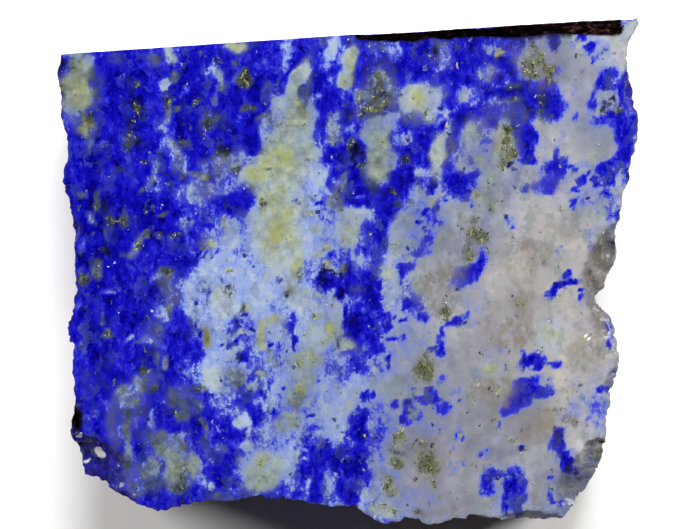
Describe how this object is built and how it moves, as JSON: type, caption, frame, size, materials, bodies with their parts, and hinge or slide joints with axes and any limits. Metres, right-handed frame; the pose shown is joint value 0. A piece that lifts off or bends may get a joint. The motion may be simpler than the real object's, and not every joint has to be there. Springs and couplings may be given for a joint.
{
  "type": "rough lapis lazuli slab",
  "caption": "Rough slab of blue lapis lazuli with white calcite, sawn flat on front, back and one long side, with broken edges elsewhere; lies flat as a specimen.",
  "frame": {"origin": "middle of the slab's box at its underside, on the surface that it lies on", "axes": "+X along the slab, +Y out of the long sawn side, +Z out of the sawn front face"},
  "size_m": [0.0644, 0.056, 0.014],
  "materials": {
    "lapis_rock": "sawn and broken, half gloss"
  },
  "bodies": {
    "root": {"lapis_slab": "lapis_rock"}
  },
  "joints": []
}
